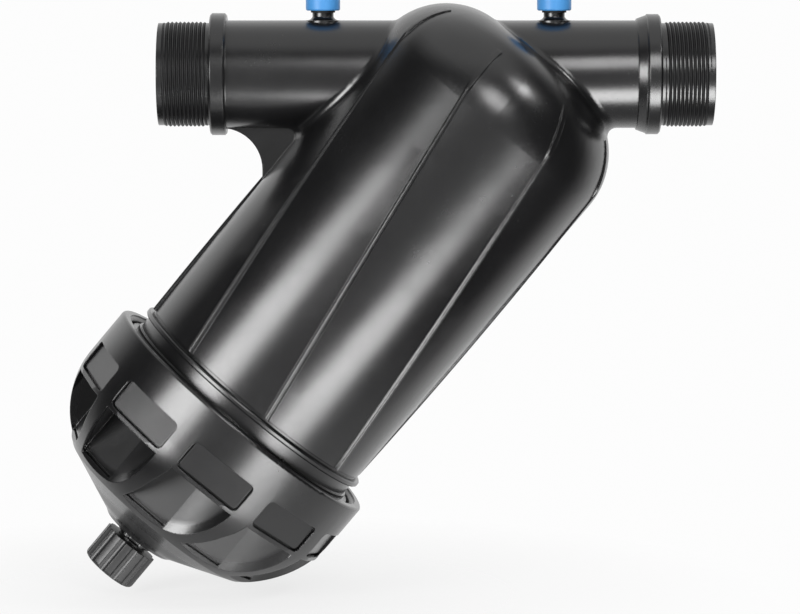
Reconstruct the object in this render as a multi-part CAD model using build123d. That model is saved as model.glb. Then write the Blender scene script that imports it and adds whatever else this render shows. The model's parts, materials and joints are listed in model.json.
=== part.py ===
from build123d import *
import math
import os

# An in-line irrigation filter with a disc cartridge. A straight pipe with male threads at both ends
# crosses the top of a slanted bowl. Water enters at the left, fills the bowl round the discs, passes
# through them to the middle and leaves by the dome. A windowed screw cover closes the bowl's low end.
# Millimetres. The origin is the centre of the inlet's end face, +X runs along the pipe and +Z is up.
# Inside the bowl, lengths are measured down its axis from the point where it crosses the pipe's axis.

# Pipe
pipe_length = 315.0
tube_radius = 30.6
bore_radius = 25.5
thread_radius = 29.1
thread_length = 29.5
inlet_collar_radius = 34.7
inlet_collar_width = 9.2
outlet_collar_radius = 34.2
outlet_collar_width = 8.4
outlet_collar_gap = 0.6
flare_length = 4.9
flare_start_radius = 31.6
flare_end_radius = 33.4
collar_edge = 1.0

# Bowl
bowl_angle = 50.0
crossing_x = 208.2
bowl_radius_top = 76.6
bowl_radius_low = 75.2
bowl_wall = 5.0
dome_top = -13.0
dome_corner = 46.0
bead_height = 3.0
bead_width = 3.0
bead_above_cover = 7.7
bead_groove_width = 1.9
bead_groove_depth = 1.0
bead_edge = 0.6
neck_step = 1.2
partition_low = 25.0
partition_thickness = 5.0
seat_radius = 31.0
seat_wall = 4.5
seat_length = 9.0
junction_fillet = 5.0

# Spiral ribs on the bowl
rib_count = 8
rib_width = 3.2
rib_height = 2.1
rib_twist_per_mm = 0.116
rib_angle_low = 8.0
rib_root = 15.0

# Web between the inlet tube and the bowl
web_thickness = 5.0
web_arc_radius = 23.5
web_arc_x = 35.3
web_drop = 12.0
web_overlap = 6.0

# Pressure taps
tap_places = {"inlet": 93.5, "outlet": 225.0}
tap_boss_radius = 6.0
tap_boss_top = 35.0
tap_flare_radius = 9.8
tap_flare_top = 32.6
tap_flare_arc = 3.6
tap_foot_depth = 3.0
tap_bore_radius = 4.2
tap_drill_radius = 2.6
tap_plug_radius = 9.75
tap_plug_height = 15.0
tap_shank_length = 7.0
tap_seal_thickness = 1.1
tap_seal_radius = 6.9
tap_seal_fit = 0.3
tap_fit = 0.05
tap_edge = 2.2
tap_low_edge = 0.7

# Cover
cover_rim = 250.5
skirt_length = 29.5
shoulder_depth = 67.0
saucer_inset = 26.0
hub_radius = 25.0
hub_depth = 63.6
hub_height = 2.0
hub_chamfer = 3.0
cover_wall = 4.2
thread_band_height = 4.0
thread_clearance = 0.8
thread_band_start = 2.5
thread_band_length = 24.0
thread_band_edge = 1.2
rim_round = 1.8
rim_lip_width = 2.4
rim_lip_depth = 1.0
rim_wall = 4.9
neck_length = 30.5
sump_wall = 27.0
sump_above_hub = 23.6
sump_corner = 14.0

# Cover windows. A pocket's corners are given as depth under the cover's radius and angle in degrees.
window_count = 10
window_phase = 6.0
pad_half_angle = 13.9
pad_start = 19.8
pad_height = 18.0
pad_depth = 4.1
pad_corner = 3.4
pad_groove_width = 1.0
pad_groove_depth = 1.3
ledge_height = 2.4
ledge_depth = 1.9
pocket_right = [(-21.5, 20.4), (2.0, 19.6), (9.2, 16.9), (14.8, 13.4), (21.1, 5.0)]
pocket_left = [(21.1, -20.0), (6.0, -11.6), (1.5, -8.6), (-21.5, -8.2)]
pocket_groove_above_hub = 23.3
pocket_groove_width = 1.6
pocket_groove_depth = 2.4

# Cover seal
seal_thickness = 4.0
seal_gap = 0.3

# Drain
nozzle_radius = 9.0
nozzle_bore = 5.0
nozzle_reach = 16.5
nozzle_collar_radius = 11.5
nozzle_stop_radius = 1.8
nozzle_stop_angle = 26.0
nozzle_stop_length = 3.2
plug_gap = 5.4
plug_radius = 16.6
plug_end_wall = 3.0
plug_edge = 2.4
plug_flutes = 12
flute_radius = 2.6
flute_depth = 1.5
plug_fit = 0.35
drain_seal_thickness = 2.0

# Cartridge
head_radius = 30.6
head_above_partition = 4.0
head_fit = 0.2
head_wall = 4.0
head_flange_radius = 54.0
head_flange_thickness = 6.0
neck_seal_places = (27.2, 32.2)
neck_seal_radius = 1.3
neck_seal_fit = 0.1
neck_groove_depth = 2.7
neck_groove_width = 3.0
disc_count = 25
disc_radius = 54.0
disc_bore = 36.0
disc_thickness = 7.6
disc_gap = 0.4
spine_radius = 35.4
spine_inner = 29.0
spine_bars = 6
spine_bar_width = 8.0
spine_base_thickness = 5.0
spine_end_clearance = 6.0
spine_ring = 4.0
plate_thickness = 5.0
plate_cup_depth = 17.0
plate_cup_radius = 41.0
plate_cup_wall = 4.0
rod_radius = 5.0
rod_fit = 0.4
rod_end = 1.0
screw_fit = 0.05
rod_nut_width = 16.0
rod_nut_height = 7.0
washer_radius = 14.0
washer_thickness = 1.6
knob_radius = 22.0
knob_hub_radius = 11.0
knob_height = 16.0
knob_wings = 6
knob_wing_width = 5.0
knob_rim_inset = 1.5
knob_rim_height = 3.0
knob_travel = 11.0
foot_thickness = 4.0
foot_legs = 4
foot_leg_width = 8.0
foot_leg_depth = 8.0
foot_reach = 40.0
foot_gap = 0.6
foot_above_hub = 25.6
foot_rib_length = 12.0
foot_rib_width = 5.0

# How far a cutting solid runs past the face that it opens
overcut = 0.6

angle = math.radians(bowl_angle)
down_axis = Vector(-math.cos(angle), 0, -math.sin(angle))
bowl_plane = Plane(origin=(crossing_x, 0, 0), x_dir=(0, -1, 0), z_dir=down_axis)
bowl_rest = bowl_plane.location

bead_low = cover_rim - bead_above_cover
bead_top = bead_low - bead_width
bead_radius = bowl_radius_low + bead_height
rib_low = bead_top - bead_groove_width
rib_reach = bowl_radius_low + rib_height
neck_radius = bowl_radius_low + neck_step
housing_end = cover_rim + neck_length
thread_band_radius = neck_radius + thread_band_height
thread_band_top = cover_rim + thread_band_start

cover_radius = thread_band_radius + thread_clearance + rim_lip_width + rim_wall
skirt_low = cover_rim + skirt_length
hub_top = skirt_low + hub_depth
saucer_radius = cover_radius - saucer_inset
sump_radius = cover_radius - sump_wall
sump_low = hub_top - sump_above_hub
pad_top = cover_rim + pad_start
pad_low = pad_top + pad_height
pocket_top = pad_low + ledge_height

seal_inner = bowl_radius_low - bowl_wall + seal_gap
seal_outer = neck_radius - seal_gap
seal_top = housing_end
seal_low = seal_top + seal_thickness

plug_top = hub_top + hub_height + plug_gap
nozzle_low = plug_top + nozzle_reach
plug_low = nozzle_low + drain_seal_thickness + plug_end_wall

head_top = partition_low - head_above_partition
head_seat = partition_low + seat_length
stack_top = head_seat + head_flange_thickness
stack_low = stack_top + disc_count * (disc_thickness + disc_gap)
spine_low = stack_low + spine_end_clearance
rod_nut_top = spine_low - spine_base_thickness - rod_nut_height
cup_floor = stack_low + plate_cup_depth
cup_low = cup_floor + plate_cup_wall
washer_low = cup_low + washer_thickness
knob_low = washer_low + knob_height
foot_top = knob_low + knob_travel + foot_gap
foot_seat = hub_top - foot_above_hub
rod_low = foot_top + foot_thickness + rod_nut_height + rod_end


def turned(*edges):
    """A closed half section, drawn as radius and depth, turned about the bowl's axis."""
    return revolve(Plane.XZ * make_face(edges), Axis.Z)


def ring(inner, outer, top, low):
    """A plain ring about the bowl's axis."""
    body = Pos(0, 0, top) * Cylinder(outer, low - top, align=(Align.CENTER, Align.CENTER, Align.MIN))
    if inner > 0:
        body -= Pos(0, 0, top) * Cylinder(inner, low - top, align=(Align.CENTER, Align.CENTER, Align.MIN))
    return body


def along_pipe(radius, start, end):
    """A round bar on the pipe's axis."""
    bar = Cylinder(radius, end - start, align=(Align.CENTER, Align.CENTER, Align.MIN))
    return Pos(start, 0, 0) * Rot(0, 90, 0) * bar


def at_angle(radius, degrees):
    """A point across the bowl's axis. Angles grow from the front towards the pipe's outlet side."""
    turn = math.radians(-degrees)
    return (radius * math.cos(turn), radius * math.sin(turn))


def dome_profile(radius, corner, top, low, low_radius):
    """Half section of a domed cup: a flat top, a round corner and a side that tapers to the low end."""
    flat = radius - corner
    side = top + corner
    return [
        Line((0, top), (flat, top)),
        RadiusArc((flat, top), (radius, side), -corner),
        Line((radius, side), (low_radius, low)),
        Line((low_radius, low), (0, low)),
        Line((0, low), (0, top)),
    ]


def bowl_outside():
    """The bowl's dome and side, the bead with a groove above it and the neck that the cover screws on to."""
    body = turned(*dome_profile(bowl_radius_top, dome_corner, dome_top, thread_band_top, bowl_radius_low))
    body -= ring(bowl_radius_low - bead_groove_depth, bead_radius, rib_low, bead_top)
    bead = ring(0, bead_radius, bead_top, bead_low)
    body += chamfer(bead.edges().filter_by(GeomType.CIRCLE), bead_edge)
    body += ring(0, neck_radius, cover_rim, housing_end)
    band = ring(0, thread_band_radius, thread_band_top, thread_band_top + thread_band_length)
    return body + chamfer(band.edges().filter_by(GeomType.CIRCLE), thread_band_edge)


def spiral_ribs():
    """Round-topped ribs that wind round the bowl at a constant reach and fade as the bowl widens."""
    length = rib_low - dome_top
    inner, crown = rib_reach - rib_root, rib_reach - rib_width / 2
    star = Sketch()
    for index in range(rib_count):
        start = rib_angle_low + index * 360 / rib_count
        plate = Pos((inner + crown) / 2, 0) * Rectangle(crown - inner, rib_width)
        star += Rot(0, 0, -start) * (plate + Pos(crown, 0) * Circle(rib_width / 2))
    ribs = Part()
    for face in star.faces():
        ribs += Solid.extrude_linear_with_rotation(
            face, (0, 0, 0), (0, 0, -length), -rib_twist_per_mm * length
        )
    ribs = Pos(0, 0, rib_low) * ribs
    edge = rib_reach + overcut
    reach = dome_profile(edge, dome_corner + rib_reach - bowl_radius_top, dome_top, rib_low, edge)
    return ribs & turned(*reach)


def web():
    """The thin plate that braces the inlet tube against the bowl, with a round edge."""
    centre_z = -tube_radius - web_arc_radius
    arc_end = web_arc_x + web_arc_radius
    root = -tube_radius + web_overlap
    plate = Polyline(
        (web_arc_x, root),
        (arc_end + 3 * web_arc_radius, root),
        (arc_end + web_drop, centre_z - web_drop),
        (web_arc_x, centre_z - web_drop),
        close=True,
    )
    outline = make_face(plate.edges()) - Pos(web_arc_x, centre_z) * Circle(web_arc_radius)
    outline -= Pos(web_arc_x, centre_z - web_arc_radius) * Rectangle(2 * web_arc_radius, 2 * web_arc_radius)
    return extrude(Plane.XZ * outline, web_thickness / 2, both=True)


def tap_boss(x):
    """A short hollow boss with a flared foot, for a pressure tap."""
    root = tube_radius - tap_foot_depth
    foot = Line((tap_flare_radius, root), (tap_flare_radius, tube_radius))
    flare = RadiusArc((tap_flare_radius, tube_radius), (tap_boss_radius, tap_flare_top), tap_flare_arc)
    side = Line((tap_boss_radius, tap_flare_top), (tap_boss_radius, tap_boss_top))
    top = Line((tap_boss_radius, tap_boss_top), (0, tap_boss_top))
    middle = Line((0, tap_boss_top), (0, root))
    low = Line((0, root), (tap_flare_radius, root))
    return Pos(x, 0, 0) * turned(foot, flare, side, top, middle, low)


def tap_bore(x):
    """The boss's bore: wide for the plug's shank, then a small drilling into the pipe."""
    bore = tap_bore_radius + tap_fit
    wide = Cylinder(bore, tap_shank_length + 1, align=(Align.CENTER, Align.CENTER, Align.MAX))
    drilling = tap_boss_top - bore_radius + 2 * tap_drill_radius
    thin = Cylinder(tap_drill_radius, drilling, align=(Align.CENTER, Align.CENTER, Align.MAX))
    return Pos(x, 0, tap_boss_top) * (wide + thin)


def collar(radius, start, end):
    """A plain collar round the pipe with broken edges."""
    body = along_pipe(radius, start, end)
    return chamfer(body.edges().filter_by(GeomType.CIRCLE), collar_edge)


def pipe_outside():
    """The tube, its plain thread bands, the collars behind them and the flare at the outlet's collar."""
    inlet_collar_end = thread_length + inlet_collar_width
    outlet_collar_end = pipe_length - thread_length - outlet_collar_gap
    outlet_collar = outlet_collar_end - outlet_collar_width
    body = along_pipe(thread_radius, 0, pipe_length)
    body += along_pipe(tube_radius, inlet_collar_end - 1, outlet_collar + 1)
    body += collar(inlet_collar_radius, thread_length, inlet_collar_end)
    body += collar(outlet_collar_radius, outlet_collar, outlet_collar_end)
    flare = Cone(flare_start_radius, flare_end_radius, flare_length, align=(Align.CENTER, Align.CENTER, Align.MIN))
    return body + Pos(outlet_collar - flare_length, 0, 0) * Rot(0, 90, 0) * flare


def bowl_inside():
    """The chamber below the partition and the dome's plenum above it, joined by the round seat."""
    wall_radius = bowl_radius_low - bowl_wall
    chamber = ring(0, wall_radius, partition_low, housing_end + overcut)
    chamber -= ring(seat_radius, seat_radius + seat_wall, partition_low, head_seat)
    dome_radius = bowl_radius_top - bowl_wall
    dome = turned(*dome_profile(
        dome_radius, dome_corner - bowl_wall, dome_top + bowl_wall, partition_low + dome_corner, dome_radius))
    plenum = dome & ring(0, bowl_radius_top, dome_top, partition_low - partition_thickness)
    throat = ring(0, seat_radius, partition_low - partition_thickness - overcut, partition_low + overcut)
    return [chamber, plenum, throat]


def pipe_inside():
    """The inlet bore ends in the chamber and the outlet bore starts in the plenum, clear of the partition."""
    corner_depth = bore_radius * math.sin(angle)
    inlet_end = crossing_x - (partition_low + corner_depth) / math.cos(angle) - overcut
    outlet_start = crossing_x - (partition_low - partition_thickness - corner_depth) / math.cos(angle) + overcut
    return [along_pipe(bore_radius, -overcut, inlet_end),
            along_pipe(bore_radius, outlet_start, pipe_length + overcut)]


def junction(body):
    """The curved edges where the tube meets the bowl's dome and side."""
    plain = (GeomType.LINE, GeomType.CIRCLE)
    return [edge for edge in body.edges() if edge.geom_type not in plain and edge.length > tube_radius / 2]


def make_housing():
    body = pipe_outside() + bowl_rest * bowl_outside()
    body = body.fillet(junction_fillet, junction(body))
    body += bowl_rest * spiral_ribs()
    body += web()
    for x in tap_places.values():
        body += tap_boss(x)
    for space in bowl_inside():
        body -= bowl_rest * space
    for bore in pipe_inside():
        body -= bore
    for x in tap_places.values():
        body -= tap_bore(x)
    return body


def make_tap_plug(x):
    """A plain round plug with a shank in the boss's bore and a soft edge."""
    low = tap_boss_top + tap_seal_thickness
    head = Pos(0, 0, low) * Cylinder(tap_plug_radius, tap_plug_height, align=(Align.CENTER, Align.CENTER, Align.MIN))
    head = fillet(head.edges().filter_by(GeomType.CIRCLE).sort_by(Axis.Z)[-1:], tap_edge)
    head = chamfer(head.edges().filter_by(GeomType.CIRCLE).sort_by(Axis.Z)[:1], tap_low_edge)
    shank = Pos(0, 0, low) * Cylinder(tap_bore_radius, tap_shank_length, align=(Align.CENTER, Align.CENTER, Align.MAX))
    return Pos(x, 0, 0) * (head + shank)


def make_tap_seal(x):
    seal = Cylinder(tap_seal_radius, tap_seal_thickness, align=(Align.CENTER, Align.CENTER, Align.MIN))
    seal -= Cylinder(tap_bore_radius + tap_seal_fit, 3 * tap_seal_thickness)
    return Pos(x, 0, tap_boss_top) * seal


def cover_outside():
    """The skirt with a round rim, the shoulder, the flat saucer and the hub with its drain nozzle."""
    share = saucer_radius / cover_radius
    edge_low = skirt_low + shoulder_depth * math.sqrt(1 - share * share)
    sweep = math.degrees(math.acos(share))
    shoulder = EllipticalCenterArc((0, skirt_low), cover_radius, shoulder_depth, arc_size=sweep)
    rim = RadiusArc((cover_radius - rim_round, cover_rim), (cover_radius, cover_rim + rim_round), -rim_round)
    step = nozzle_collar_radius - nozzle_radius
    saucer = Polyline(
        (saucer_radius, edge_low),
        (hub_radius, hub_top),
        (hub_radius - hub_chamfer, hub_top + hub_height),
        (nozzle_collar_radius, hub_top + hub_height),
        (nozzle_collar_radius, plug_top - plug_gap / 4 - step / 2),
        (nozzle_radius, plug_top - plug_gap / 4),
        (nozzle_radius, nozzle_low),
        (0, nozzle_low),
        (0, cover_rim),
        (cover_radius - rim_round, cover_rim),
    )
    side = Line((cover_radius, cover_rim + rim_round), (cover_radius, skirt_low))
    return turned(*saucer.edges(), rim, side, shoulder)


def cover_inside():
    """The thread band's room with its lip, the seal's groove, the sump and the drain's bore."""
    room = thread_band_radius + thread_clearance
    lip = room + rim_lip_width
    lip_low = cover_rim + rim_lip_depth
    groove = seal_outer + seal_gap
    step = seal_gap * 10
    start, end = cover_rim - overcut, nozzle_low + overcut
    floor = hub_top - cover_wall
    wall_low = sump_low - sump_corner
    flat = nozzle_bore + sump_corner / 2
    upper = Polyline(
        (0, start), (lip, start), (lip, lip_low), (room, lip_low + rim_lip_width / 2), (room, housing_end),
        (groove, housing_end), (groove, seal_low), (sump_radius + step, seal_low),
        (sump_radius, seal_low + step), (sump_radius, wall_low))
    corner = RadiusArc((sump_radius, wall_low), (sump_radius - sump_corner, sump_low), -sump_corner)
    lower = Polyline(
        (sump_radius - sump_corner, sump_low), (flat, floor), (nozzle_bore, floor), (nozzle_bore, end),
        (0, end), (0, start))
    return turned(*upper.edges(), corner, *lower.edges())


def facing(depth):
    """A plane across a window, at a depth under the cover's radius."""
    return Plane(origin=(cover_radius - depth, 0, 0), x_dir=(0, 1, 0), z_dir=(1, 0, 0))


def pad_recess():
    """The flat pad at the top of a window, a groove round its sides and low edge, and the ledge below it."""
    width = 2 * cover_radius * math.sin(math.radians(pad_half_angle))
    reach = 3 * pad_depth
    face = Pos(0, (pad_low + pad_top) / 2) * RectangleRounded(width, pad_height, pad_corner)
    pad = extrude(facing(pad_depth) * face, reach)
    inner = RectangleRounded(width - 2 * pad_groove_width, pad_height, pad_corner - pad_groove_width)
    line = face - Pos(0, (pad_low + pad_top) / 2 - pad_groove_width) * inner
    groove = extrude(facing(pad_depth + pad_groove_depth) * line, reach)
    strip = Pos(0, pad_low + ledge_height / 2) * Rectangle(width, ledge_height + 2 * overcut)
    ledge = extrude(facing(ledge_depth) * strip, reach)
    return Rot(0, 0, -window_phase) * (pad + groove + ledge)


def pocket():
    """The deep pocket under the ledge. Its section leans, which leaves raked grip blades between."""
    right = [at_angle(cover_radius - depth, degrees) for depth, degrees in pocket_right]
    left = [at_angle(cover_radius - depth, degrees) for depth, degrees in pocket_left]
    outline = [Line(left[-1], right[0]), Line(right[0], right[1]), Spline(*right[1:]), Line(right[-1], left[0])]
    outline += Polyline(*left).edges()
    face = Pos(0, 0, pocket_top) * make_face(outline)
    return extrude(face, hub_depth, dir=(0, 0, 1))


def pocket_groove():
    """A narrow groove across the low end of a pocket's floor."""
    floor, degrees = pocket_right[-1]
    outer, inner = cover_radius - floor + overcut, cover_radius - floor - pocket_groove_depth
    end = pocket_left[0][1]
    outline = Polyline(
        at_angle(outer, degrees), at_angle(inner, degrees), at_angle(inner, end), at_angle(outer, end), close=True)
    face = Pos(0, 0, hub_top - pocket_groove_above_hub) * make_face(outline.edges())
    return extrude(face, pocket_groove_width, dir=(0, 0, 1))


def foot_ribs():
    """Short ribs inside the cover that the cartridge's foot stands on."""
    ribs = Part()
    for index in range(foot_legs):
        rib = Box(foot_rib_length, foot_rib_width, foot_above_hub, align=(Align.MAX, Align.CENTER, Align.MIN))
        ribs += Rot(0, 0, index * 360 / foot_legs) * Pos(foot_reach, 0, foot_seat) * rib
    return ribs & cover_outside()


def nozzle_stops():
    """Two small stops on the hub beside the nozzle."""
    stops = Part()
    for degrees in (-nozzle_stop_angle, nozzle_stop_angle):
        stop = Cylinder(
            nozzle_stop_radius, nozzle_stop_length + overcut, align=(Align.CENTER, Align.CENTER, Align.MIN))
        stops += Pos(*at_angle(nozzle_collar_radius, degrees), hub_top + hub_height - overcut) * stop
    return stops


def make_cover():
    body = cover_outside() - cover_inside() + foot_ribs()
    for index in range(window_count):
        turn = Rot(0, 0, -index * 360 / window_count)
        body -= turn * pad_recess()
        body -= turn * pocket()
        body -= turn * pocket_groove()
    return body + nozzle_stops()


def make_cover_seal():
    return ring(seal_inner, seal_outer, seal_top, seal_low)


def make_drain_plug():
    """A fluted cap over the drain nozzle."""
    body = ring(0, plug_radius, plug_top, plug_low)
    body = fillet(body.edges().filter_by(GeomType.CIRCLE).sort_by(Axis.Z)[-1:], plug_edge)
    for index in range(plug_flutes):
        flute = Pos(plug_radius + flute_radius - flute_depth, 0, plug_top - overcut) * Cylinder(
            flute_radius, plug_low - plug_top + 2 * overcut, align=(Align.CENTER, Align.CENTER, Align.MIN))
        body -= Rot(0, 0, (index + 0.5) * 360 / plug_flutes) * flute
    return body - ring(0, nozzle_radius + plug_fit, plug_top - overcut, nozzle_low + drain_seal_thickness)


def make_drain_seal():
    return ring(nozzle_bore + 0.5, nozzle_radius - 0.2, nozzle_low, nozzle_low + drain_seal_thickness)


def make_cartridge_head():
    """The neck that plugs into the partition's seat, and the flange that the discs hang from."""
    neck = ring(head_radius - head_wall, head_radius - head_fit, head_top, head_seat)
    for place in neck_seal_places:
        top = place - neck_groove_width / 2
        neck -= ring(head_radius - neck_groove_depth, head_radius + overcut, top, top + neck_groove_width)
    flange = ring(head_radius - head_wall, head_flange_radius, head_seat, stack_top)
    return neck + flange


def make_neck_seals():
    """Two round sealing rings in the neck's grooves."""
    middle = head_radius - neck_groove_depth + neck_seal_radius + neck_seal_fit
    return [Pos(0, 0, place) * Torus(middle, neck_seal_radius) for place in neck_seal_places]


def make_spine():
    """Bars that guide the discs, between a ring under the head and the closed base."""
    bars = Part()
    for index in range(spine_bars):
        bar = Pos((spine_inner + spine_radius) / 2, 0, stack_top) * Box(
            2 * (spine_radius - spine_inner), spine_bar_width, spine_low - stack_top,
            align=(Align.CENTER, Align.CENTER, Align.MIN))
        bars += Rot(0, 0, index * 360 / spine_bars) * bar
    bars &= ring(spine_inner, spine_radius, stack_top, spine_low)
    top_ring = ring(spine_inner, spine_radius, stack_top, stack_top + spine_ring)
    base = ring(rod_radius + screw_fit, spine_radius, spine_low - spine_base_thickness, spine_low)
    return bars + top_ring + base


def make_disc_stack():
    """Grooved discs, drawn as packs. Each pack is a ring of its own."""
    pitch = disc_thickness + disc_gap
    tops = [stack_top + disc_gap / 2 + index * pitch for index in range(disc_count)]
    return [ring(disc_bore, disc_radius, top, top + disc_thickness) for top in tops]


def make_pressure_plate():
    """The plate that squeezes the discs, with a cup over the spine's end."""
    flange = ring(disc_bore, disc_radius, stack_low, stack_low + plate_thickness)
    cup = ring(plate_cup_radius - plate_cup_wall, plate_cup_radius, stack_low, cup_low)
    floor = ring(rod_radius + rod_fit, plate_cup_radius, cup_floor, cup_low)
    return flange + cup + floor


def make_tie_rod():
    return ring(0, rod_radius, rod_nut_top - 2 * rod_end, rod_low)


def hex_nut(top):
    """A plain hexagon nut on the rod."""
    flats = RegularPolygon(rod_nut_width / math.sqrt(3), 6)
    nut = extrude(flats - Circle(rod_radius + screw_fit), rod_nut_height)
    return Pos(0, 0, top) * nut


def make_clamp_washer():
    return ring(rod_radius + rod_fit, washer_radius, cup_low, washer_low)


def make_clamp_knob():
    """A hand knob with wings on a round hub."""
    body = ring(0, knob_hub_radius, washer_low, knob_low)
    for index in range(knob_wings):
        wing = Pos(knob_radius / 2, 0, washer_low) * Box(
            knob_radius, knob_wing_width, knob_height - knob_rim_inset, align=(Align.CENTER, Align.CENTER, Align.MIN))
        body += Rot(0, 0, index * 360 / knob_wings) * wing
    body += ring(0, knob_radius - knob_rim_inset, washer_low, washer_low + knob_rim_height)
    return body - ring(0, rod_radius + screw_fit, washer_low - overcut, knob_low + overcut)


def make_cartridge_foot():
    """A spider on the rod's end whose legs stand on the cover's ribs and keep the cartridge seated."""
    body = ring(0, washer_radius, foot_top, foot_top + foot_thickness)
    for index in range(foot_legs):
        arm = Pos(foot_reach / 2, 0, foot_top) * Box(
            foot_reach, foot_leg_width, foot_thickness, align=(Align.CENTER, Align.CENTER, Align.MIN))
        leg = Pos(foot_reach, 0, foot_top) * Box(
            foot_leg_depth, foot_leg_width, foot_seat - foot_top, align=(Align.MAX, Align.CENTER, Align.MIN))
        body += Rot(0, 0, index * 360 / foot_legs) * (arm + leg)
    return body - ring(0, rod_radius + screw_fit, foot_top - overcut, foot_seat + overcut)


def save(name, shape, slanted=True):
    """Write one sub-part. Slanted pieces are drawn upright and then laid along the bowl's axis."""
    solids = shape if isinstance(shape, list) else [shape]
    solids = [solid for item in solids for solid in item.solids()]
    if slanted:
        solids = [bowl_rest * solid for solid in solids]
    whole = solids[0] if len(solids) == 1 else Compound(children=solids)
    export_step(whole, f"parts/{name}.step")


os.makedirs("parts", exist_ok=True)
save("housing", make_housing(), slanted=False)
for side, place in tap_places.items():
    save(f"{side}_tap_plug", make_tap_plug(place), slanted=False)
    save(f"{side}_tap_seal", make_tap_seal(place), slanted=False)
save("cover", make_cover())
save("cover_seal", make_cover_seal())
save("drain_plug", make_drain_plug())
save("drain_seal", make_drain_seal())
save("cartridge_head", make_cartridge_head())
for name, seal in zip(("neck_seal_upper", "neck_seal_lower"), make_neck_seals()):
    save(name, seal)
save("cartridge_spine", make_spine())
save("disc_stack", make_disc_stack())
save("pressure_plate", make_pressure_plate())
save("tie_rod", make_tie_rod())
save("rod_nut", hex_nut(rod_nut_top))
save("clamp_washer", make_clamp_washer())
save("clamp_knob", make_clamp_knob())
save("cartridge_foot", make_cartridge_foot())
save("foot_nut", hex_nut(foot_top + foot_thickness))
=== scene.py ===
import json
import math

import bmesh
import bpy
from mathutils import Matrix, Vector


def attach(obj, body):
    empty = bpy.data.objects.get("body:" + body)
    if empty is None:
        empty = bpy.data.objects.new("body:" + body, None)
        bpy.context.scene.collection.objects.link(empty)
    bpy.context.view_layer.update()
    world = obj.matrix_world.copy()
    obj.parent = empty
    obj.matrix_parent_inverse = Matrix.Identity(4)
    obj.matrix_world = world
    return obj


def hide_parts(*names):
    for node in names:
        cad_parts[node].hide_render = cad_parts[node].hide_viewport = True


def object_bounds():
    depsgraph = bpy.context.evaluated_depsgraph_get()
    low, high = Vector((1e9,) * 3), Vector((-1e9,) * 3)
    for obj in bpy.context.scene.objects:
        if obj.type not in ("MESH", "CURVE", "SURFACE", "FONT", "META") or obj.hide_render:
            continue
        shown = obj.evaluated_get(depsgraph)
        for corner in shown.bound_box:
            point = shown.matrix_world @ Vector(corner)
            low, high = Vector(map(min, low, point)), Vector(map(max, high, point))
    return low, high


# Inclined disc filter: black moulded housing on a threaded pipe, windowed screw cover, drain plug,
# blue tap plugs and a disc cartridge inside. Metres, in the frame of the solid model.

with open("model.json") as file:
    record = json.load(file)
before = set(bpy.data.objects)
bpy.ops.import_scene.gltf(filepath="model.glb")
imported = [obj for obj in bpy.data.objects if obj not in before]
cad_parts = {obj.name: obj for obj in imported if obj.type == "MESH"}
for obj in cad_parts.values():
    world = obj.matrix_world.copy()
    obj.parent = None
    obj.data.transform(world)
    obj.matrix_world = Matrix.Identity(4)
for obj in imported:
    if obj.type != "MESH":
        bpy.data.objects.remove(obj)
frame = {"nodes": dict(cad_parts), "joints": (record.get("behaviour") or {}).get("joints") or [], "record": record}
nodes = frame["nodes"]
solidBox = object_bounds()
print("frame loaded,", len(nodes), "nodes")

# Where things are, read from the frame
mounts = {mount["name"]: mount for mount in frame["record"]["mounts"]}
outletEnd = Vector(mounts["outlet_thread"]["pos_m"])
pipeLength = outletEnd.x
bowlJoint = next(joint for joint in frame["joints"] if joint["name"] == "cartridge_pull")
bowlDown = Vector(bowlJoint["axis"]).normalized()
bowlTurn = next(joint for joint in frame["joints"] if joint["name"] == "cover_turn")
bowlStart = Vector(bowlTurn["pos_m"])
bowlFrame = Matrix.Translation(bowlStart) @ bowlDown.to_track_quat("Z", "Y").to_matrix().to_4x4()


# Shader maths written as plain expressions
class Wire:
    def __init__(self, tree, socket):
        self.tree = tree
        self.socket = socket

    def maths(self, operation, *others):
        node = self.tree.nodes.new("ShaderNodeMath")
        node.operation = operation
        for slot, value in enumerate((self, *others)):
            if isinstance(value, Wire):
                self.tree.links.new(value.socket, node.inputs[slot])
            else:
                node.inputs[slot].default_value = value
        return Wire(self.tree, node.outputs[0])

    def swapped(self, operation, first):
        node = self.tree.nodes.new("ShaderNodeMath")
        node.operation = operation
        node.inputs[0].default_value = first
        self.tree.links.new(self.socket, node.inputs[1])
        return Wire(self.tree, node.outputs[0])

    def __add__(self, other):
        return self.maths("ADD", other)

    def __radd__(self, other):
        return self.maths("ADD", other)

    def __sub__(self, other):
        return self.maths("SUBTRACT", other)

    def __rsub__(self, other):
        return self.swapped("SUBTRACT", other)

    def __mul__(self, other):
        return self.maths("MULTIPLY", other)

    def __rmul__(self, other):
        return self.maths("MULTIPLY", other)

    def __truediv__(self, other):
        return self.maths("DIVIDE", other)

    def __pow__(self, other):
        return self.maths("POWER", other)

    def clamped(self):
        return self.maths("MINIMUM", 1.0).maths("MAXIMUM", 0.0)


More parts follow.
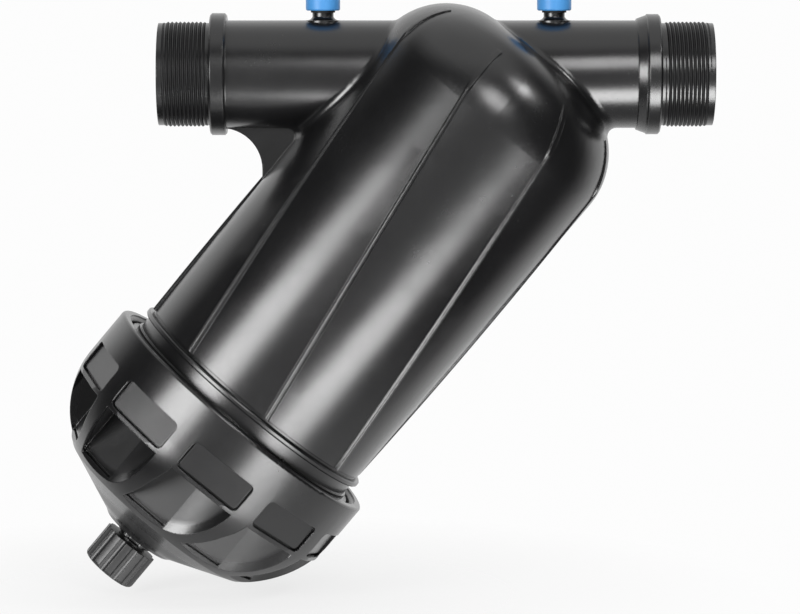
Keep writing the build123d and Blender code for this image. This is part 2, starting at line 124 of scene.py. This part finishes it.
# A material and the few calls that fill it
class Finish:
    def __init__(self, name, tree=None):
        if tree is None:
            self.material = bpy.data.materials.new(name)
            self.material.use_nodes = True
            tree = self.material.node_tree
            tree.nodes.clear()
        self.tree = tree

    def node(self, kind, settings=None, values=None, output=0):
        made = self.tree.nodes.new(kind)
        for key, value in (settings or {}).items():
            if key == "stops":
                ramp = made.color_ramp
                while len(ramp.elements) < len(value):
                    ramp.elements.new(0.5)
                for element, (place, colour) in zip(ramp.elements, value):
                    element.position = place
                    element.color = colour
            else:
                setattr(made, key, value)
        for key, value in (values or {}).items():
            if isinstance(value, Wire):
                self.tree.links.new(value.socket, made.inputs[key])
            else:
                made.inputs[key].default_value = value
        return Wire(self.tree, made.outputs[output]) if made.outputs else None

    def place(self):
        return self.node("ShaderNodeTexCoord", output="Object")

    def noise(self, place, scale, detail=2.0, roughness=0.5):
        return self.node("ShaderNodeTexNoise", None,
                         {"Vector": place, "Scale": scale, "Detail": detail, "Roughness": roughness})

    def blend(self, factor, low, high):
        return self.node("ShaderNodeMix", {"data_type": "RGBA"}, {0: factor, 6: low, 7: high}, output=2)

    def between(self, factor, low, high):
        return factor * (high - low) + low

    def show(self, shader):
        self.node("ShaderNodeOutputMaterial", None, {"Surface": shader})
        return self.material


# How deep a point of the cover lies under its outer form: 0 on the skin, 1 inside the grip pockets
def pocketShare(finish, place, look):
    offset = finish.node("ShaderNodeVectorMath", {"operation": "SUBTRACT"}, {0: place, 1: tuple(bowlStart)})
    along = finish.node("ShaderNodeVectorMath", {"operation": "DOT_PRODUCT"}, {0: offset, 1: tuple(bowlDown)},
                        output="Value")
    across = finish.node("ShaderNodeVectorMath", {"operation": "CROSS_PRODUCT"}, {0: offset, 1: tuple(bowlDown)})
    radius = finish.node("ShaderNodeVectorMath", {"operation": "LENGTH"}, {0: across}, output="Value")
    low = ((along - look["skirtLow"]) / look["shoulderDepth"]).clamped()
    skin = (1 - low * low).maths("SQRT") * look["coverRadius"]
    return ((skin - radius - look["skinDepth"]) / look["fadeDepth"]).clamped()


# Moulded plastic: a fine grain, faint waves left by the mould, and smudges in the gloss
def mouldedPlastic(name, look):
    finish = Finish(name)
    place = finish.place()
    waves = finish.noise(place, 1 / look["waveSize"], 2.0)
    grain = finish.noise(place, 1 / look["grainSize"], 3.0, 0.6)
    smudge = finish.noise(place, 1 / look["smudgeSize"], 4.0, 0.65)
    dust = finish.noise(place, 1 / look["dustSize"], 2.0, 0.7)
    colour = finish.blend(smudge.clamped(), look["dark"], look["light"])
    gloss = finish.between((smudge - 0.5) * 1.6 + 0.5, look["roughness"] - look["roughnessSpread"],
                           look["roughness"] + look["roughnessSpread"]) + (dust - 0.5) * 0.06
    if "pocketRoughness" in look:
        gloss = gloss + pocketShare(finish, place, look) * look["pocketRoughness"]
    rounded = finish.node("ShaderNodeBevel", {"samples": 4}, {"Radius": look["edge"]})
    wavy = finish.node("ShaderNodeBump", None,
                       {"Strength": look["waveStrength"], "Distance": 0.001, "Height": waves, "Normal": rounded})
    grained = finish.node("ShaderNodeBump", None,
                          {"Strength": look["grainStrength"], "Distance": 0.0001, "Height": grain,
                           "Normal": wavy})
    return finish.show(finish.node("ShaderNodeBsdfPrincipled", None, {
        "Base Color": colour, "Roughness": gloss, "Specular IOR Level": look["specular"], "Normal": grained}))


blackLook = {
    "dark": (0.0045, 0.0045, 0.0048, 1), "light": (0.0085, 0.0085, 0.009, 1),
    "roughness": 0.25, "roughnessSpread": 0.03, "specular": 0.9, "edge": 0.0009,
    "waveSize": 0.055, "waveStrength": 0.35, "grainSize": 0.0006, "grainStrength": 0.12,
    "smudgeSize": 0.045, "dustSize": 0.002,
}
coverLook = {**blackLook, "skirtLow": 0.280, "shoulderDepth": 0.067, "coverRadius": 0.0885,
             "skinDepth": 0.0050, "fadeDepth": 0.003, "pocketRoughness": 0.22}
threadSkin = {**blackLook, "roughness": 0.5, "specular": 0.3, "edge": 0.0001}
plugLook = {**blackLook, "roughness": 0.42, "edge": 0.0006, "grainStrength": 0.2}
blueLook = {
    "dark": (0.058, 0.25, 0.58, 1), "light": (0.078, 0.30, 0.65, 1),
    "roughness": 0.42, "roughnessSpread": 0.03, "specular": 0.4, "edge": 0.0005,
    "waveSize": 0.012, "waveStrength": 0.15, "grainSize": 0.0005, "grainStrength": 0.12,
    "smudgeSize": 0.01, "dustSize": 0.001,
}
innerLook = {**blackLook, "dark": (0.012, 0.012, 0.013, 1), "light": (0.02, 0.02, 0.022, 1),
             "roughness": 0.4, "specular": 0.5, "edge": 0.0005}


# Rubber: matt, with a trace of pale bloom
def softRubber(name, look):
    finish = Finish(name)
    place = finish.place()
    bloom = finish.noise(place, 1 / look["bloomSize"], 4.0, 0.6)
    grain = finish.noise(place, 1 / look["grainSize"], 2.0)
    colour = finish.blend(bloom.clamped(), look["dark"], look["light"])
    skin = finish.node("ShaderNodeBump", None, {"Strength": 0.2, "Distance": 0.0001, "Height": grain})
    return finish.show(finish.node("ShaderNodeBsdfPrincipled", None, {
        "Base Color": colour, "Roughness": finish.between(bloom, 0.62, 0.8), "Normal": skin}))


rubberLook = {"dark": (0.008, 0.008, 0.008, 1), "light": (0.02, 0.02, 0.02, 1), "bloomSize": 0.01,
              "grainSize": 0.0004}


# Turned stainless steel with fine rings of tool marks along the bowl's axis
def turnedSteel(name, look):
    finish = Finish(name)
    place = finish.place()
    along = finish.node("ShaderNodeVectorMath", {"operation": "DOT_PRODUCT"},
                        {0: place, 1: tuple(bowlDown)}, output="Value")
    marks = (along * (2 * math.pi / look["markPitch"])).maths("SINE")
    stain = finish.noise(place, 1 / look["stainSize"], 3.0)
    colour = finish.blend(stain.clamped(), look["dark"], look["light"])
    cut = finish.node("ShaderNodeBump", None, {"Strength": 0.15, "Distance": 0.00005, "Height": marks})
    return finish.show(finish.node("ShaderNodeBsdfPrincipled", None, {
        "Base Color": colour, "Metallic": 1.0, "Roughness": finish.between(stain, 0.22, 0.38), "Normal": cut}))


steelLook = {"dark": (0.48, 0.48, 0.49, 1), "light": (0.66, 0.66, 0.67, 1), "markPitch": 0.0005,
             "stainSize": 0.006}

print("materials")
blackPlastic = mouldedPlastic("black_plastic", blackLook)
coverPlastic = mouldedPlastic("cover_plastic", coverLook)
plugPlastic = mouldedPlastic("plug_plastic", plugLook)
threadPlastic = mouldedPlastic("thread_plastic", threadSkin)
bluePlastic = mouldedPlastic("blue_plastic", blueLook)
innerPlastic = mouldedPlastic("cartridge_plastic", innerLook)
rubber = softRubber("rubber", rubberLook)
steel = turnedSteel("steel", steelLook)

discLook = {**blueLook, "dark": (0.42, 0.02, 0.016, 1), "light": (0.55, 0.035, 0.026, 1), "edge": 0.0001,
            "roughness": 0.45}
discPlastic = mouldedPlastic("disc_plastic", discLook)

nodeFinish = {
    "housing": blackPlastic, "cover": coverPlastic, "drain_plug": plugPlastic,
    "inlet_tap_plug": bluePlastic, "outlet_tap_plug": bluePlastic,
    "cartridge_head": innerPlastic, "cartridge_spine": innerPlastic, "pressure_plate": innerPlastic,
    "cartridge_foot": innerPlastic, "clamp_knob": innerPlastic, "disc_stack": discPlastic,
    "tie_rod": steel, "rod_nut": steel, "foot_nut": steel, "clamp_washer": steel,
}
for name, node in nodes.items():
    node.data.materials.clear()
    node.data.materials.append(nodeFinish.get(name, rubber))


def newPiece(name, mesh, finish, body):
    piece = bpy.data.objects.new(name, mesh)
    bpy.context.scene.collection.objects.link(piece)
    mesh.materials.append(finish)
    for face in mesh.polygons:
        face.use_smooth = True
    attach(piece, body)
    return piece


# A closed band of points swept from ring to ring, with a fan at each end
def sweptMesh(name, rings, closedLoop=False):
    shape = bmesh.new()
    rows = [[shape.verts.new(point) for point in ring] for ring in rings]
    count = len(rows[0])
    pairs = list(zip(rows, rows[1:])) + ([(rows[-1], rows[0])] if closedLoop else [])
    for near, far in pairs:
        for index in range(count):
            after = (index + 1) % count
            shape.faces.new((near[index], near[after], far[after], far[index]))
    if not closedLoop:
        shape.faces.new(list(reversed(rows[0])))
        shape.faces.new(rows[-1])
    bmesh.ops.recalc_face_normals(shape, faces=shape.faces)
    mesh = bpy.data.meshes.new(name)
    shape.to_mesh(mesh)
    shape.free()
    return mesh


# Threads: helical ridges on the plain bands, fading at both ends. Each runs from its frame's origin along +Z.
pipeThreadLook = {"pitch": 0.002309, "root": 0.0291, "crest": 0.0298, "lead": 0.0014, "length": 0.0292,
                  "crestWidth": 0.0003, "footWidth": 0.00226, "stepsPerTurn": 72, "fade": 1.3}
neckThreadLook = {"pitch": 0.006, "root": 0.0804, "crest": 0.0810, "lead": 0.2545, "length": 0.2755,
                  "crestWidth": 0.0014, "footWidth": 0.0032, "stepsPerTurn": 120, "fade": 0.15}
drainThreadLook = {"pitch": 0.002, "root": 0.0090, "crest": 0.00925, "lead": 0.3530, "length": 0.3668,
                   "crestWidth": 0.0004, "footWidth": 0.0012, "stepsPerTurn": 48, "fade": 0.5}


def threadRidge(name, place, look, body):
    turns = (look["length"] - look["lead"] - look["footWidth"]) / look["pitch"]
    steps = int(turns * look["stepsPerTurn"])
    foot = look["root"] - 0.0002
    rings = []
    for step in range(steps + 1):
        turn = step / look["stepsPerTurn"]
        height = min(1.0, turn / look["fade"], (turns - turn) / look["fade"])
        crest = look["root"] + (look["crest"] - look["root"]) * max(height, 0.02)
        along = look["lead"] + look["footWidth"] / 2 + turn * look["pitch"]
        section = [(foot, -look["footWidth"] / 2), (crest, -look["crestWidth"] / 2),
                   (crest, look["crestWidth"] / 2), (foot, look["footWidth"] / 2)]
        angle = 2 * math.pi * turn
        rings.append([place @ Vector((radius * math.cos(angle), radius * math.sin(angle), along + shift))
                      for radius, shift in section])
    return newPiece(name, sweptMesh(name, rings), threadPlastic, body)


print("threads")
for name, mount in mounts.items():
    inward = -Vector(mount["axis"])
    turned = inward.to_track_quat("Z", "Y").to_matrix().to_4x4()
    threadRidge(f"{name}_ridge", Matrix.Translation(mount["pos_m"]) @ turned, pipeThreadLook, "housing")
threadRidge("neck_thread_ridge", bowlFrame, neckThreadLook, "housing")
threadRidge("drain_thread_ridge", bowlFrame, drainThreadLook, "cover")


# The disc stack as thin discs, each with a fine chamfer at its edges
discStackLook = {"discThickness": 0.0008, "notch": 0.00035, "segments": 72}


def discStack():
    look = discStackLook
    toBowl = bowlFrame.inverted()
    points = [toBowl @ vertex.co for vertex in nodes["disc_stack"].data.vertices]
    top = min(point.z for point in points)
    low = max(point.z for point in points)
    outer = max(math.hypot(point.x, point.y) for point in points)
    inner = min(math.hypot(point.x, point.y) for point in points)
    count = int((low - top) / look["discThickness"])
    thickness = (low - top) / count
    profile = []
    for index in range(count):
        start = top + index * thickness
        profile += [(outer - look["notch"], start), (outer, start + thickness * 0.3),
                    (outer, start + thickness * 0.7)]
    profile += [(outer - look["notch"], low), (inner, low), (inner, top)]
    rings = []
    for step in range(look["segments"]):
        angle = 2 * math.pi * step / look["segments"]
        rings.append([bowlFrame @ Vector((radius * math.cos(angle), radius * math.sin(angle), depth))
                      for radius, depth in profile])
    piece = newPiece("thin_discs", sweptMesh("thin_discs", rings, True), discPlastic, "cartridge")
    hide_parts("disc_stack")
    return piece


print("discs")
discStack()


# The room: white behind the filter, dark in front of it, and a small pale floor that fades out
roomLook = {"floorDrop": 0.003, "floorRadius": 0.32, "fadeStart": 0.06, "front": 0.018, "back": 1.0,
            "riseStart": 0.12, "riseSpan": 0.58, "facing": 0.3, "overhead": 0.7, "paper": 0.98,
            "shadowShare": 0.22}


# Camera rays see plain white all over, mirrored rays only behind the filter
def shownWhite(finish, behind):
    seen = finish.node("ShaderNodeLightPath", output="Is Camera Ray")
    mirrored = finish.node("ShaderNodeLightPath", output="Is Glossy Ray")
    through = finish.node("ShaderNodeLightPath", output="Is Transmission Ray")
    return (seen + (mirrored + through) * behind).clamped()


def floorFinish():
    look = roomLook
    finish = Finish("floor_paper")
    place = finish.place()
    grain = finish.noise(place, 400.0, 3.0)
    depth = finish.node("ShaderNodeSeparateXYZ", None, {0: place}, output="Y")
    behind = (depth / look["floorRadius"] + 0.5).clamped()
    direct = shownWhite(finish, behind) * (1 - look["shadowShare"])
    colour = finish.blend(grain, (0.86, 0.86, 0.86, 1), (0.92, 0.92, 0.92, 1))
    paper = finish.node("ShaderNodeBsdfPrincipled", None, {"Base Color": colour, "Roughness": 0.9})
    glow = finish.node("ShaderNodeEmission", None, {"Color": (1, 1, 1, 1), "Strength": look["paper"]})
    lit = finish.node("ShaderNodeMixShader", None, {0: direct, 1: paper, 2: glow})
    distance = finish.node("ShaderNodeVectorMath", {"operation": "LENGTH"}, {0: place}, output="Value")
    fade = ((distance - look["fadeStart"]) / (0.95 * look["floorRadius"] - look["fadeStart"])).clamped()
    clear = finish.node("ShaderNodeBsdfTransparent")
    return finish.show(finish.node("ShaderNodeMixShader", None, {0: fade, 1: lit, 2: clear}))


def makeRoom():
    look = roomLook
    low, high = solidBox
    middle = (low + high) / 2
    shape = bmesh.new()
    bmesh.ops.create_circle(shape, cap_ends=True, segments=96, radius=look["floorRadius"])
    mesh = bpy.data.meshes.new("floor")
    shape.to_mesh(mesh)
    shape.free()
    floor = bpy.data.objects.new("floor", mesh)
    floor.location = (middle.x - 0.08, middle.y, low.z - look["floorDrop"])
    floor.visible_shadow = False
    bpy.context.scene.collection.objects.link(floor)
    mesh.materials.append(floorFinish())

    world = bpy.data.worlds.new("studio")
    bpy.context.scene.world = world
    world.use_nodes = True
    world.node_tree.nodes.clear()
    sky = Finish("studio", world.node_tree)
    heading = sky.node("ShaderNodeTexCoord", output="Generated")
    depth = sky.node("ShaderNodeSeparateXYZ", None, {0: heading}, output="Y")
    height = sky.node("ShaderNodeSeparateXYZ", None, {0: heading}, output="Z")
    rise = ((depth - look["riseStart"]) / look["riseSpan"]).clamped()
    behind = rise * rise
    facing = ((-0.72 - depth) / 0.2).clamped() * look["facing"]
    overhead = ((height - 0.70) / 0.2).clamped() * look["overhead"]
    level = sky.between(behind, look["front"], look["back"]).maths("MAXIMUM", facing + overhead)
    white = shownWhite(sky, behind)
    strength = level * (1 - white) + white * look["paper"]
    back = sky.node("ShaderNodeBackground", None, {"Color": (1, 1, 1, 1), "Strength": strength})
    sky.node("ShaderNodeOutputWorld", None, {"Surface": back})


# Soft round lamps, each as direction from the filter, width and radiance. The two sides give the long
# bands on the bowl, the pair above and below give those on the pipe, and the last one lights the dome.
lampLook = {
    "distance": 1.6,
    "upper_left": ((-0.68, -0.78, 0.17), 0.86, 10.5),
    "lower_right": ((0.30, -0.755, -0.66), 0.94, 9.0),
    "above": ((0.22, -0.85, 0.50), 0.62, 6.5),
    "below": ((0.20, -0.71, -0.66), 0.80, 2.5),
    "dome": ((0.64, -0.37, 0.67), 0.36, 12.0),
}
cameraLook = {"place": (0.1373, -2.0522, 0.0464), "pitchDown": 5.0, "lens": 161.8, "sensor": 36.0}


def makeLights():
    low, high = solidBox
    middle = (low + high) / 2
    for name, lampShape in lampLook.items():
        if name == "distance":
            continue
        way, width, radiance = lampShape
        light = bpy.data.lights.new(name, "AREA")
        light.shape = "DISK"
        light.size = width
        light.energy = radiance * math.pi * math.pi * width * width / 4
        lamp = bpy.data.objects.new(name, light)
        lamp.location = middle + Vector(way).normalized() * lampLook["distance"]
        lamp.rotation_euler = (middle - lamp.location).to_track_quat("-Z", "Y").to_euler()
        lamp.visible_camera = False
        bpy.context.scene.collection.objects.link(lamp)


def makeCamera():
    look = cameraLook
    camera = bpy.data.cameras.new("camera")
    camera.lens = look["lens"]
    camera.sensor_width = look["sensor"]
    camera.clip_end = 50
    view = bpy.data.objects.new("camera", camera)
    view.location = look["place"]
    view.rotation_euler = (math.radians(90 - look["pitchDown"]), 0, 0)
    bpy.context.scene.collection.objects.link(view)
    bpy.context.scene.camera = view


print("room, lamps and camera")
makeRoom()
makeLights()
makeCamera()
bpy.context.scene.view_settings.view_transform = "Standard"

print("done")
